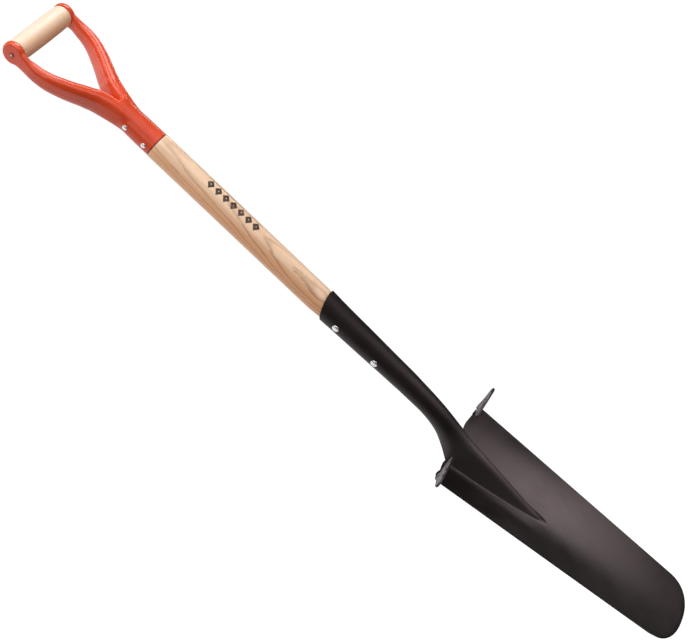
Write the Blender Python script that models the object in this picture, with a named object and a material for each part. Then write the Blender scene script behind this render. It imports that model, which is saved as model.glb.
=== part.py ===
"""Post hole digger: a narrow round-nosed spade with a riveted ash shaft and a pressed steel D-handle.

Frame: +Z runs up the tool towards the grip, the hollow face of the blade looks along -Y (front),
and the tool is symmetric about X = 0. The nose of the blade is at Z = 0. Dimensions are in
millimetres; the Y of every part is measured from the shaft axis.
"""
import math
from collections import namedtuple

import bmesh
import bpy
import numpy as np
from mathutils import Vector

MM = 0.001
GAP = 0.3                  # air left between neighbouring pieces
SHAFT_Y = -5.86            # shaft axis, so that the bounding box is centred on Y = 0

# ---- blade outline and hollow -----------------------------------------------
SHEET = 2.0                # plate thickness
BLADE_TOP = 398.0          # height of the shoulders
HALF_TOP = 79.8            # half width across the shoulders
HALF_TAPER = 0.0637        # half width lost for each millimetre down the blade
EDGE_Y_TOP = 15.8          # the long edges sit this far behind the shaft axis at the shoulders
EDGE_LIFT = 0.1237         # and come forward by this much for each millimetre down
HOLLOW_TOP = 32.0          # depth of the hollow at the shoulders
HOLLOW_NOSE = 1.5          # and at the nose
NOSE_HEIGHT = 36.9         # the rounded end starts this far up
NOSE_ROUND = (2.35, 2.15)  # exponents of the rounded end: across, up
SHOULDER_DIP = 5.0         # the shoulder line drops by this much beside the neck
DIP_FROM, DIP_TO = 57.0, 36.0     # X where the dip starts, and where it is full
SPLIT = BLADE_TOP - SHOULDER_DIP  # the middle band leaves the blade here

# ---- frog: the raised ridge that runs up into the neck -----------------------
FROG_TIP = 230.0
FLANK_SLOPE = 1.0          # slope of the flanks at the tip
FLANK_STEEPENING = 3.2     # added to it by the shoulders
FROG_BLEND = 3.0           # width of the blend into the hollow at the tip
FROG_BLEND_GROWTH = 5.0    # added to it over the next stretch
FROG_BLEND_RISE = 130.0    # height of that stretch
# height, crest Y, crest radius
CREST = (
    (200.0, 22.0, 5.0), (230.0, 15.2, 5.8), (240.0, 14.2, 6.1), (263.0, 12.9, 6.5),
    (287.0, 10.1, 6.9), (328.0, 5.2, 7.6), (346.0, 3.3, 8.2), (372.0, 1.0, 9.0),
    (391.0, -1.4, 10.0), (407.0, -4.4, 11.0), (422.0, -7.0, 12.0), (435.0, -9.3, 13.0),
    (450.0, -11.4, 14.0), (478.0, -14.1, 15.4), (520.0, -16.4, 16.6),
)

# ---- middle band, neck and socket --------------------------------------------
BAND_LOW = 9.0             # half width of the middle band at its lower end
BAND_SPLIT = 18.6          # and where it carries on up into the neck
BAND_WIDENS_FROM = 200.0
NECK_TOP = 478.0           # above this the socket is a round tube
SOCKET_LEAN = 1.3          # the tube sits this far behind the shaft axis at the neck
LEAN_RISE = 32.0           # and comes onto the axis over this height
RIM_MID, RIM_SLANT = 663.4, 9.5   # the mouth is cut on a slant, higher at the front
SEAM = 1.2                 # open seam down the back of the socket
# height, outer radius
SOCKET = (
    (393.0, 15.6), (422.0, 15.2), (450.0, 15.0), (464.0, 15.1), (478.0, 15.4),
    (492.0, 15.8), (520.0, 16.6), (547.0, 17.2), (575.0, 18.0), (589.0, 18.4),
    (616.0, 19.0), (643.0, 19.7), (662.0, 20.5), (676.0, 21.3),
)

# ---- grid of the sheet ---------------------------------------------------------
BAND_COLUMNS, WING_COLUMNS = 20, 6
LOW_ROWS, HIGH_ROWS = 6, 11       # blade rows below and above ROW_BREAK
ROW_BREAK = 0.56                  # share of the blade's height
NECK_ROWS, SOCKET_ROWS = 6, 6
EVEN_SHARE, SINE_SHARE = 0.45, 0.55   # mix that sets the spacing of the wing columns
BAND_SAMPLES = 241                # samples used to space the band's points evenly
LOWEST_SECTION = 1.0              # the band is never sectioned below this height
SETTLE_ROUNDS = 12                # rounds that settle a wing point's X and Z together

# ---- foot treads ---------------------------------------------------------------
TREAD = 3.0                # thickness
TREAD_BEVEL = 0.5
TREAD_OUTER = 106.5
TREAD_INNER = 44.2
# X, Y of the right-hand tread, counter-clockwise seen from above
TREAD_OUTLINE = (
    # outer tip
    (TREAD_OUTER, -3.2), (TREAD_OUTER - 0.6, -0.6), (TREAD_OUTER - 2.6, 1.6),
    # back edge, running inwards
    (97.0, 4.2), (90.0, 7.6), (84.0, 11.6), (80.0, 16.2), (77.0, 17.6), (74.0, 17.4),
    (70.0, 13.6), (64.0, 10.0), (58.0, 7.5), (52.0, 5.0), (46.0, 2.5),
    # inner end
    (TREAD_INNER, 0.2), (TREAD_INNER + 1.2, -2.0),
    # front edge, running outwards
    (52.0, -3.6), (60.0, -4.6), (75.0, -6.5), (90.0, -7.8), (100.0, -7.8),
    (104.0, -6.6), (105.9, -5.0),
)

# ---- shaft -----------------------------------------------------------------------
SHAFT_R = 19.0
SHAFT_FOOT = 512.0
SHAFT_FULL = 679.0         # full radius from here up
FOOT_BEVEL_RISE = 4.0
FOOT_PLAY, FOOT_BEVEL_PLAY, SOCKET_PLAY = 2.6, 0.8, 0.7   # air inside the socket, going up
SOCKETED_HEIGHTS = (530, 560, 590, 616, 643, 660, 672)
FERRULE_FOOT = 975.2
SHAFT_BEVEL = 0.8
TENON_R = 15.8
TENON_TOP = 1036.0
TENON_BEVEL = 3.0

# ---- D-handle --------------------------------------------------------------------
WALL = 1.6
BORE_DROP = 5.0            # the ferrule's bore starts this far below its foot
# height above the foot of the ferrule, outer radius
FERRULE = ((0.0, 18.5), (33.0, 18.3), (48.0, 17.8), (57.0, 18.0), (65.0, 18.8), (73.0, 20.0))
# arm centre line: X, height above the foot of the ferrule, half thickness, half width along Y
ARM = (
    (7.0, 46.0, 9.0, 14.4), (8.4, 60.0, 9.8, 16.0), (11.4, 76.0, 10.8, 17.4),
    (18.0, 94.5, 10.9, 17.2), (22.6, 101.5, 10.4, 16.7), (27.0, 109.0, 10.0, 16.2),
    (31.4, 115.2, 9.8, 15.8), (36.0, 122.0, 9.5, 15.4), (40.6, 129.0, 9.2, 15.0),
    (45.0, 136.8, 8.9, 14.5), (49.0, 144.0, 8.5, 14.0), (52.5, 151.5, 8.1, 13.4),
    (55.2, 159.5, 7.7, 12.7), (57.0, 168.0, 7.3, 12.0), (57.8, 177.0, 6.9, 11.4),
    (58.5, 187.0, 4.7, 11.4), (58.4, 197.0, 4.2, 12.4), (58.2, 204.0, 4.0, 13.0),
)
GRIP_Z = 1183.4
EAR_IN, EAR_OUT = 53.8, 62.4   # X of the inner and outer faces of an ear
EAR_R = 16.2
EAR_FLAT_R = 13.2
# radius, X of the ear at the arm's end, from the inner face out
EAR_PROFILE = (
    (0, EAR_IN), (EAR_R - 0.9, EAR_IN), (EAR_R, EAR_IN + 1.2), (EAR_R, EAR_OUT - 4.6),
    (EAR_R - 0.9, EAR_OUT - 2.0), (EAR_FLAT_R, EAR_OUT), (0, EAR_OUT),
)
# cavity inside the ear
CUP_R = EAR_R - 3.0
CUP_IN, CUP_OUT = EAR_IN + WALL, EAR_OUT - 3.2

# ---- grip ------------------------------------------------------------------------
GRIP_R_END, GRIP_R_MID = 15.2, 15.9
GRIP_BORE = 3.4
GRIP_CLEAR = 0.45          # end play each side
GRIP_HALF = EAR_IN - GRIP_CLEAR
GRIP_BEVEL_R, GRIP_BEVEL_X = 1.4, 1.6
GRIP_STATIONS = (-34, -17, 0, 17, 34)

# ---- rivets ------------------------------------------------------------------------
Rivet = namedtuple("Rivet", "shank head_radius head_height")
SOCKET_RIVET = Rivet(shank=2.6, head_radius=5.2, head_height=1.9)
YOKE_RIVET = Rivet(shank=2.2, head_radius=3.8, head_height=1.4)
GRIP_RIVET = Rivet(shank=3.0, head_radius=3.9, head_height=1.3)
DOME_ANGLES = (0.0, 0.5, 1.0)     # radians up the dome of a head
HOLE = 0.35                # radial clearance of a rivet hole
BORE_HALF, PIN_HOLE_HALF = 40, 80   # half lengths of the drilling cylinders
SOCKET_SEAT_RISE = 5.0     # the heads clear the socket's radius this far above the rivet
YOKE_SEAT_PLAY = 0.15      # extra air under the heads on the ferrule
# name: height
SOCKET_RIVETS = {"socket_rivet_upper": 634.6, "socket_rivet_lower": 563.6}
YOKE_RIVETS = {"yoke_rivet_upper": FERRULE_FOOT + 44.5, "yoke_rivet_lower": FERRULE_FOOT + 11.2}


# ---- curves ------------------------------------------------------------------------
def table(rows, at, column=1):
    """Value at a height, read by cubic interpolation and held level beyond the table's ends."""
    z = [row[0] for row in rows]
    values = [row[column] for row in rows]
    if at <= z[0]:
        return values[0]
    if at >= z[-1]:
        return values[-1]
    slopes = [(values[i + 1] - values[i]) / (z[i + 1] - z[i]) for i in range(len(z) - 1)]
    # level at a peak or a dip, so that the curve doesn't overshoot
    inner = [(a + b) / 2 if a * b > 0 else 0.0 for a, b in zip(slopes, slopes[1:])]
    tangents = [slopes[0]] + inner + [slopes[-1]]
    i = max(k for k in range(len(z) - 1) if z[k] <= at)
    step = z[i + 1] - z[i]
    t = (at - z[i]) / step
    return ((2 * t**3 - 3 * t**2 + 1) * values[i]
            + (t**3 - 2 * t**2 + t) * step * tangents[i]
            + (3 * t**2 - 2 * t**3) * values[i + 1]
            + (t**3 - t**2) * step * tangents[i + 1])


def clamp(t):
    return min(max(t, 0.0), 1.0)


def smoothstep(t):
    t = clamp(t)
    return t * t * (3 - 2 * t)


# ---- the front face of the sheet as a surface ----------------------------------------
def half_width(z):
    return HALF_TOP - HALF_TAPER * (BLADE_TOP - z)


def hollow(x, z):
    """Y of the plain hollow blade, before the frog is pressed into it."""
    depth = HOLLOW_NOSE + (HOLLOW_TOP - HOLLOW_NOSE) * z / BLADE_TOP
    edge = EDGE_Y_TOP - EDGE_LIFT * (BLADE_TOP - z)
    return edge + depth * (1 - (x / half_width(z)) ** 2)


def ridge(x, z):
    """Y of the frog: a rounded crest with sloping flanks."""
    crest, radius = table(CREST, z), table(CREST, z, 2)
    slope = FLANK_SLOPE + FLANK_STEEPENING * clamp((z - FROG_TIP) / (BLADE_TOP - FROG_TIP))
    turn = radius * slope / math.hypot(1, slope)   # X where the round meets the flank
    x = abs(x)
    if x <= turn:
        return crest + radius - math.sqrt(radius**2 - x**2)
    return crest + radius - math.sqrt(radius**2 - turn**2) + slope * (x - turn)


def face_y(x, z):
    """Front face of the blade: the hollow with the frog blended in."""
    plain, raised = hollow(x, z), ridge(x, z)
    blend = FROG_BLEND + FROG_BLEND_GROWTH * smoothstep((z - FROG_TIP) / FROG_BLEND_RISE)
    nearness = max(blend - abs(plain - raised), 0.0) / blend
    return min(plain, raised) - nearness**3 * blend / 6


def nose(across):
    """Height of the rounded end, at a share of the half width."""
    p, q = NOSE_ROUND
    return NOSE_HEIGHT * (1 - max(1 - abs(across) ** p, 0.0) ** (1 / q))


def band_half(z):
    """Half width of the middle band, which carries on into the neck."""
    widening = smoothstep((z - BAND_WIDENS_FROM) / (BLADE_TOP - BAND_WIDENS_FROM))
    return BAND_LOW + (BAND_SPLIT - BAND_LOW) * widening


def band_section(z):
    """The middle band's section at height z, as evenly spaced X and Y."""
    width = band_half(z)
    xs = np.linspace(-width, width, BAND_SAMPLES)
    ys = np.array([face_y(x, z) for x in xs])
    run = np.concatenate([[0.0], np.cumsum(np.hypot(np.diff(xs), np.diff(ys)))])
    stops = np.linspace(0, run[-1], BAND_COLUMNS + 1)
    return np.interp(stops, run, xs), np.interp(stops, run, ys)


def neck_section(z):
    """Section of the neck or the socket at height z: a channel that closes into a tube."""
    radius = table(SOCKET, z)
    if z < NECK_TOP:
        crest = table(CREST, z)
    else:
        crest = max(0.0, SOCKET_LEAN * (1 - (z - NECK_TOP) / LEAN_RISE)) - radius
    xs, ys = band_section(SPLIT)
    ys = ys + crest - table(CREST, SPLIT)
    closing = 1 - (1 - min((z - SPLIT) / (NECK_TOP - SPLIT), 1.0)) ** 2
    end = math.pi - SEAM / 2 / radius
    angles = np.linspace(-end, end, BAND_COLUMNS + 1)
    tube_x = radius * np.sin(angles)
    tube_y = crest + radius - radius * np.cos(angles)
    return (1 - closing) * xs + closing * tube_x, (1 - closing) * ys + closing * tube_y


# ---- the sheet's grid: rows of points, going up ------------------------------------
def blade_shares():
    """Share of the blade's height at each row, with more rows beside the frog."""
    low = np.linspace(0, ROW_BREAK, LOW_ROWS + 1)[:-1]
    return np.concatenate([low, np.linspace(ROW_BREAK, 1, HIGH_ROWS + 1)])


def band_rows():
    """Middle band of the blade, whose lower end follows the nose outline."""
    rows = []
    for share in blade_shares():
        row = []
        for x in band_section(max(SPLIT * share, LOWEST_SECTION))[0]:
            bottom = nose(x / half_width(0))
            z = bottom + (SPLIT - bottom) * share
            row.append((x, face_y(x, z), z))
        rows.append(row)
    return rows


def wing_rows():
    """Right-hand wing of the blade, from beside the band out to the long edge."""
    even = np.linspace(0, 1, WING_COLUMNS + 1)
    sine = np.sin(np.linspace(0, math.pi / 2, WING_COLUMNS + 1))
    spread = EVEN_SHARE * even + SINE_SHARE * sine   # closer together towards the edge
    rows = []
    for share in blade_shares():
        inner = band_half(max(SPLIT * share, LOWEST_SECTION))
        row = []
        for j in range(1, WING_COLUMNS + 1):
            z = SPLIT * share
            for _ in range(SETTLE_ROUNDS):
                x = inner + (half_width(z) - inner) * spread[j]
                bottom = nose(x / half_width(z)) if j < WING_COLUMNS else NOSE_HEIGHT
                top = BLADE_TOP - SHOULDER_DIP * smoothstep((DIP_FROM - x) / (DIP_FROM - DIP_TO))
                z = bottom + (top - bottom) * share
            x = inner + (half_width(z) - inner) * spread[j]
            row.append((x, face_y(x, z), z))
        rows.append(row)
    return rows


def neck_rows():
    rows = []
    for z in np.linspace(SPLIT, NECK_TOP, NECK_ROWS + 1)[1:]:
        xs, ys = neck_section(z)
        rows.append([(x, y, z) for x, y in zip(xs, ys)])
    return rows


def socket_rows():
    """Rows that tilt little by little to the slant of the mouth."""
    rows = []
    for k in range(1, SOCKET_ROWS + 1):
        row = []
        for j in range(BAND_COLUMNS + 1):
            angle = (j / BAND_COLUMNS * 2 - 1) * math.pi
            rim = RIM_MID + RIM_SLANT * math.cos(angle)
            z = NECK_TOP + (rim - NECK_TOP) * k / SOCKET_ROWS
            xs, ys = neck_section(z)
            row.append((xs[j], ys[j], z))
        rows.append(row)
    return rows


# ---- mesh helpers ------------------------------------------------------------------
def finish(name, bm):
    mesh = bpy.data.meshes.new(name)
    bm.to_mesh(mesh)
    bm.free()
    return mesh


def bridge(bm, low, high):
    """Faces between two rings; a ring of one vertex is a closed end."""
    count = max(len(low), len(high))
    for i in range(count):
        n = (i + 1) % count
        if len(low) == 1:
            bm.faces.new([low[0], high[n], high[i]])
        elif len(high) == 1:
            bm.faces.new([low[i], low[n], high[0]])
        else:
            bm.faces.new([low[i], low[n], high[n], high[i]])


def sheet_mesh(name):
    """The whole pressed sheet: front grid, back grid one thickness behind, and the rim."""
    bm = bmesh.new()
    front = {}   # (row, column): vertex; the left wing's columns are negative

    def add(key, x, y, z):
        front[key] = bm.verts.new((x * MM, y * MM, z * MM))

    for k, row in enumerate(band_rows() + neck_rows() + socket_rows()):
        for j, point in enumerate(row):
            add((k, j), *point)
    wing = wing_rows()
    for side in (-1, 1):
        for k, row in enumerate(wing):
            for j, (x, y, z) in enumerate(row, 1):
                add((k, BAND_COLUMNS + j if side > 0 else -j), side * x, y, z)

    quads = []
    for k, j in front:
        corners = [(k, j), (k + 1, j), (k + 1, j + 1), (k, j + 1)]
        if all(corner in front for corner in corners):
            quads.append(bm.faces.new([front[corner] for corner in corners]))
    # the quads are wound facing +Y; the front face looks along -Y
    bmesh.ops.reverse_faces(bm, faces=quads)
    bm.normal_update()

    back = {}    # front vertex: the vertex behind it
    for vert in front.values():
        behind = bm.verts.new(vert.co - vert.normal * SHEET * MM)
        behind.co.z = max(behind.co.z, 0.0)   # the nose is ground level
        back[vert] = behind
    rim = [edge for edge in bm.edges if edge.is_boundary]
    for face in quads:
        bm.faces.new([back[vert] for vert in reversed(face.verts)])
    for edge in rim:
        loop = edge.link_loops[0]
        start, end = loop.vert, loop.link_loop_next.vert
        bm.faces.new([end, start, back[start], back[end]])
    return finish(name, bm)


def turned(name, profile, segments, axis="Z"):
    """A solid of revolution from (radius, height) points; a radius of 0 closes an end."""
    bm = bmesh.new()
    rings = []
    for radius, z in profile:
        if radius == 0:
            rings.append([bm.verts.new((0, 0, z * MM))])
            continue
        angles = [2 * math.pi * i / segments for i in range(segments)]
        rings.append([bm.verts.new((radius * MM * math.cos(angle),
                                    radius * MM * math.sin(angle), z * MM))
                      for angle in angles])
    for low, high in zip(rings, rings[1:]):
        bridge(bm, low, high)
    if axis == "X":
        for vert in bm.verts:
            vert.co = Vector((vert.co.z, vert.co.x, vert.co.y))
    bmesh.ops.recalc_face_normals(bm, faces=bm.faces)
    return finish(name, bm)


def bored_bar(name, profile, segments):
    """A bar along X from (radius, X) points; the profile closes on itself through the bore."""
    bm = bmesh.new()
    angles = [2 * math.pi * i / segments for i in range(segments)]
    rings = [[bm.verts.new((x * MM, radius * MM * math.sin(angle), radius * MM * math.cos(angle)))
              for angle in angles] for radius, x in profile]
    for low, high in zip(rings, rings[1:] + rings[:1]):
        bridge(bm, low, high)
    bmesh.ops.recalc_face_normals(bm, faces=bm.faces)
    return finish(name, bm)


def arm_bar(name, segments, side, inset=0.0):
    """An oval bar along the arm's centre line in the XZ plane."""
    bm = bmesh.new()
    path = [Vector((side * x, 0, z + FERRULE_FOOT)) for x, z, _, _ in ARM]
    rings = []
    for i, (_, _, half_thickness, half_breadth) in enumerate(ARM):
        tangent = (path[min(i + 1, len(path) - 1)] - path[max(i - 1, 0)]).normalized()
        normal = Vector((tangent.z, 0, -tangent.x))
        ring = []
        for k in range(segments):
            angle = 2 * math.pi * (k + 0.5) / segments
            outwards = normal * math.cos(angle) * (half_thickness - inset)
            along_y = Vector((0, math.sin(angle) * (half_breadth - inset), 0))
            ring.append(bm.verts.new((path[i] + outwards + along_y) * MM))
        rings.append(ring)
    for low, high in zip(rings, rings[1:]):
        bridge(bm, low, high)
    bm.faces.new(rings[0])
    bm.faces.new(rings[-1])
    bmesh.ops.recalc_face_normals(bm, faces=bm.faces)
    return finish(name, bm)


def slab(name, outline, bottom, top, bevel):
    """A flat plate from a counter-clockwise outline, bevelled around both faces."""
    bm = bmesh.new()
    base = bm.faces.new([bm.verts.new((x * MM, y * MM, bottom * MM)) for x, y in outline])
    bmesh.ops.reverse_faces(bm, faces=[base])
    grown = bmesh.ops.extrude_face_region(bm, geom=[base])
    for element in grown["geom"]:
        if isinstance(element, bmesh.types.BMVert):
            element.co.z = top * MM
    bmesh.ops.recalc_face_normals(bm, faces=bm.faces)
    level = [e for e in bm.edges if abs(e.verts[0].co.z - e.verts[1].co.z) < 1e-7]
    bmesh.ops.bevel(bm, geom=level, offset=bevel * MM, segments=1, profile=0.5,
                    affect="EDGES", clamp_overlap=True)
    return finish(name, bm)


def rivet_mesh(name, rivet, half):
    """A rivet along X with a domed head at each end; half is half its length under the heads."""
    dome = [(rivet.head_radius * math.cos(angle), half + rivet.head_height * math.sin(angle))
            for angle in DOME_ANGLES]
    right = [(rivet.shank, half)] + dome + [(0, half + rivet.head_height)]
    left = [(radius, -x) for radius, x in reversed(right)]
    return turned(name, left + right, 14, "X")


# ---- object helpers ------------------------------------------------------------------
def link(name, data, parent=None, z=0):
    made = bpy.data.objects.new(name, data)
    bpy.context.scene.collection.objects.link(made)
    made.location = (0, 0, z * MM)
    made.parent = parent
    return made


def place(name, mesh, paint, parent, z=0, sharp=35):
    """A visible piece; edges over the sharp angle, in degrees, stay crisp."""
    mesh.materials.append(paint)
    mesh.shade_smooth()
    mesh.set_sharp_from_angle(angle=math.radians(sharp))
    return link(name, mesh, parent, z)


def place_helper(mesh, parent, z=0):
    """A hidden operand for booleans, named after its mesh."""
    made = link(mesh.name, mesh, parent, z)
    made.hide_render = True
    made.display_type = "WIRE"
    return made


def boolean(target, other, operation, solver="EXACT"):
    modifier = target.modifiers.new(other.name, "BOOLEAN")
    modifier.operation = operation
    modifier.solver = solver
    modifier.object = other


def place_bore(name, rivet, half, z, parent):
    """A cylinder along X that drills the hole for a rivet."""
    radius = rivet.shank + HOLE
    profile = [(0, -half), (radius, -half), (radius, half), (0, half)]
    return place_helper(turned(name, profile, 16, "X"), parent, z)


def material(name, colour, roughness, metallic=0.0):
    made = bpy.data.materials.new(name)
    made.use_nodes = True
    shader = made.node_tree.nodes["Principled BSDF"]
    shader.inputs["Base Color"].default_value = (*colour, 1)
    shader.inputs["Roughness"].default_value = roughness
    shader.inputs["Metallic"].default_value = metallic
    return made


# ---- pieces --------------------------------------------------------------------------
def build_bores(frame):
    """Cross bores shared by the shaft, the socket and the ferrule."""
    bores = {}
    for heights, rivet in ((SOCKET_RIVETS, SOCKET_RIVET), (YOKE_RIVETS, YOKE_RIVET)):
        for name, z in heights.items():
            bores[name] = place_bore("bore_" + name, rivet, BORE_HALF, z, frame)
    return bores


def build_blade(frame, bores, paint):
    """Blade, frog, neck and socket: one pressed and rolled sheet."""
    blade = place("blade", sheet_mesh("blade"), paint, frame, sharp=50)
    for name in SOCKET_RIVETS:
        boolean(blade, bores[name], "DIFFERENCE")


def build_treads(frame, paint):
    """Flat foot treads just above the shoulders, reaching out past the blade's edges."""
    bottom = BLADE_TOP + GAP
    mirrored = [(-x, y) for x, y in reversed(TREAD_OUTLINE)]
    for name, outline in (("step_plate_left", mirrored), ("step_plate_right", TREAD_OUTLINE)):
        plate = slab(name, outline, bottom, bottom + TREAD, TREAD_BEVEL)
        place(name, plate, paint, frame, sharp=25)


def build_shaft(frame, bores, paint):
    """Ash shaft: fitted into the socket, full round in the middle, turned down at the top."""
    def in_socket(z, play):
        return table(SOCKET, z) - SHEET - play

    bevel_top = SHAFT_FOOT + FOOT_BEVEL_RISE
    shoulder = FERRULE_FOOT - GAP
    profile = [(0, SHAFT_FOOT), (in_socket(SHAFT_FOOT, FOOT_PLAY), SHAFT_FOOT),
               (in_socket(bevel_top, FOOT_BEVEL_PLAY), bevel_top)]
    profile += [(min(in_socket(z, SOCKET_PLAY), SHAFT_R), z) for z in SOCKETED_HEIGHTS]
    profile += [(SHAFT_R, SHAFT_FULL), (SHAFT_R, shoulder - SHAFT_BEVEL),
                (SHAFT_R - SHAFT_BEVEL, shoulder), (TENON_R, shoulder),
                (TENON_R, TENON_TOP - TENON_BEVEL), (TENON_R - TENON_BEVEL, TENON_TOP),
                (0, TENON_TOP)]
    shaft = place("shaft", turned("shaft", profile, 32), paint, frame, sharp=40)
    for bore in bores.values():
        boolean(shaft, bore, "DIFFERENCE")


def build_rivets(frame, paint):
    """Rivets of the socket and of the ferrule."""
    for name, z in SOCKET_RIVETS.items():
        half = table(SOCKET, z + SOCKET_SEAT_RISE) + GAP
        place(name, rivet_mesh(name, SOCKET_RIVET, half), paint, frame, z)
    for name, z in YOKE_RIVETS.items():
        half = table(FERRULE, z - FERRULE_FOOT) + GAP + YOKE_SEAT_PLAY
        place(name, rivet_mesh(name, YOKE_RIVET, half), paint, frame, z)


def ferrule_mesh(name, inset, foot):
    """The ferrule's outside, or its bore when inset; foot is measured from the ferrule's foot."""
    rows = [(0, foot), (FERRULE[0][1] - inset, foot)]
    rows += [(radius - inset, z) for z, radius in FERRULE if z > foot]
    rows += [(0, FERRULE[-1][0])]
    return turned(name, [(radius, z + FERRULE_FOOT) for radius, z in rows], 30)


def build_yoke(frame, bores, paint):
    """Pressed handle: ferrule, arms and ears joined, less a joined core that hollows them."""
    outside = ferrule_mesh("handle_yoke", inset=0.0, foot=0.0)
    yoke = place("handle_yoke", outside, paint, frame, sharp=40)
    hollowing = place_helper(ferrule_mesh("ferrule_bore", inset=WALL, foot=-BORE_DROP), frame)
    cup_profile = ((0, CUP_IN), (CUP_R, CUP_IN), (CUP_R, CUP_OUT), (0, CUP_OUT))
    for side, tag in ((-1, "left"), (1, "right")):
        def end_disc(name, profile, segments):
            mirrored = [(radius, side * x) for radius, x in profile]
            return place_helper(turned(name + tag, mirrored, segments, "X"), frame, GRIP_Z)

        bar = place_helper(arm_bar("arm_" + tag, 16, side), frame)
        boolean(yoke, bar, "UNION", "MANIFOLD")
        boolean(yoke, end_disc("ear_", EAR_PROFILE, 30), "UNION", "MANIFOLD")
        core = place_helper(arm_bar("arm_core_" + tag, 10, side, inset=WALL), frame)
        boolean(hollowing, core, "UNION", "MANIFOLD")
        boolean(hollowing, end_disc("cup_", cup_profile, 18), "UNION", "MANIFOLD")
    pin_hole = place_bore("pin_hole", GRIP_RIVET, PIN_HOLE_HALF, GRIP_Z, frame)
    for cutter in (hollowing, pin_hole, *(bores[name] for name in YOKE_RIVETS)):
        boolean(yoke, cutter, "DIFFERENCE", "MANIFOLD")


def build_grip(frame, wood, steel):
    """A bored wooden bar, slightly fuller in the middle, that turns on its rivet."""
    axis = link("grip_axis", None, frame, GRIP_Z)
    ends = [(GRIP_BORE, -GRIP_HALF), (GRIP_R_END - GRIP_BEVEL_R, -GRIP_HALF),
            (GRIP_R_END, -GRIP_HALF + GRIP_BEVEL_X)]
    swell = GRIP_R_MID - GRIP_R_END
    middle = [(GRIP_R_END + swell * math.cos(math.pi * x / 2 / GRIP_HALF), x)
              for x in GRIP_STATIONS]
    profile = ends + middle + [(radius, -x) for radius, x in reversed(ends)]
    place("hand_grip", bored_bar("hand_grip", profile, 30), wood, axis)
    place("grip_rivet", rivet_mesh("grip_rivet", GRIP_RIVET, EAR_OUT + GAP), steel, axis)


def main():
    for old in list(bpy.data.objects):
        bpy.data.objects.remove(old, do_unlink=True)

    black = material("blade_black_enamel", colour=(0.012, 0.011, 0.011), roughness=0.42)
    red = material("handle_red_enamel", colour=(0.58, 0.055, 0.018), roughness=0.24)
    ash = material("ash_shaft", colour=(0.62, 0.38, 0.22), roughness=0.5)
    beech = material("grip_beech", colour=(0.80, 0.62, 0.44), roughness=0.45)
    steel = material("rivet_steel", colour=(0.62, 0.62, 0.63), roughness=0.28, metallic=1.0)
    worn = material("tread_black_enamel", colour=(0.05, 0.048, 0.048), roughness=0.4)

    frame = link("tool_frame", None)
    frame.location.y = SHAFT_Y * MM
    bores = build_bores(frame)
    build_blade(frame, bores, black)
    build_treads(frame, worn)
    build_shaft(frame, bores, ash)
    build_rivets(frame, steel)
    build_yoke(frame, bores, red)
    build_grip(frame, beech, steel)


main()
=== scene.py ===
"""Looks of the post hole digger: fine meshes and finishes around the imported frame, with studio
light and camera.

World frame in metres: +Z runs up the tool, and the hollow of the blade faces -Y, the front.
The shapes are in millimetres, measured from the shaft axis, which stands at Y = SHAFT_Y.
"""
import math
import random
from functools import cached_property

import bmesh
import bpy
import numpy as np
from mathutils import Matrix, Vector


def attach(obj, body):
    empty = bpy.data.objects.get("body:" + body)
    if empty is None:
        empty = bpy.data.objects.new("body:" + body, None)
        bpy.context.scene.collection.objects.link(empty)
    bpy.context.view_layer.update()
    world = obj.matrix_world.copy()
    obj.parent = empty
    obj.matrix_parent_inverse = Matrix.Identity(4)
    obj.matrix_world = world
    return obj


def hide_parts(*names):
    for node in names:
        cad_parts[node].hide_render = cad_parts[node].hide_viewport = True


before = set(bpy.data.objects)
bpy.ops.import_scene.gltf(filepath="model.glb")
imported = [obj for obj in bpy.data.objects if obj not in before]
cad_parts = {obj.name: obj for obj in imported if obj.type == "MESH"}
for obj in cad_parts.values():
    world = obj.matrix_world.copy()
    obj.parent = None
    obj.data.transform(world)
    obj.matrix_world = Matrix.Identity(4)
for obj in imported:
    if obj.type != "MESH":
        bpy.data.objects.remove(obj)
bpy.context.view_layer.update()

random.seed(11)

MM = 0.001
GAP = 0.3                  # air left between neighbouring pieces
SHAFT_Y = -5.86            # shaft axis, so that the bounding box is centred on Y = 0
ROUND = 96                 # segments of a large turned piece

# ---- blade, frog, neck and socket: one pressed and rolled sheet ----
SHEET = 2.0                # thickness of the plate
BLADE_TOP = 398.0          # height of the shoulders
HALF_TOP = 79.8            # half width across the shoulders
HALF_TAPER = 0.0637        # half width lost for each millimetre down the blade
EDGE_Y_TOP = 15.8          # the long edges sit this far behind the shaft axis at the shoulders
EDGE_LIFT = 0.1237         # and come forward by this much for each millimetre down
HOLLOW_TOP = 32.0          # depth of the hollow at the shoulders
HOLLOW_NOSE = 1.5          # and at the nose
NOSE_HEIGHT = 36.9         # the rounded end starts this far up
NOSE_ROUND = (2.35, 2.15)  # exponents of the rounded end
SHOULDER_DIP = 5.0         # the shoulder line drops by this much beside the neck
DIP_FROM, DIP_TO = 57.0, 36.0
SPLIT = BLADE_TOP - SHOULDER_DIP  # height where the middle band leaves the shoulders
GRIND_DEPTH = 0.9          # the front face is ground back by this much at the nose
GRIND_WIDTH = 3.6          # height of the ground strip above the cutting edge
GRIND_FADE_FROM, GRIND_FADE_OVER = 26, 22  # it fades out from this height, over this length
GRIND_BACK = 0.8           # share of the grinding that the back of the sheet is brought forward
FROG_TIP = 230.0
FROG_SLOPE, FROG_STEEPER = 1.0, 3.2        # slope of the flanks at the tip, and its gain above
FROG_BLEND, FROG_BLEND_GAIN = 3.0, 5.0     # width of the blend at the tip, and its gain above
FROG_BLEND_OVER = 130
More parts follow.
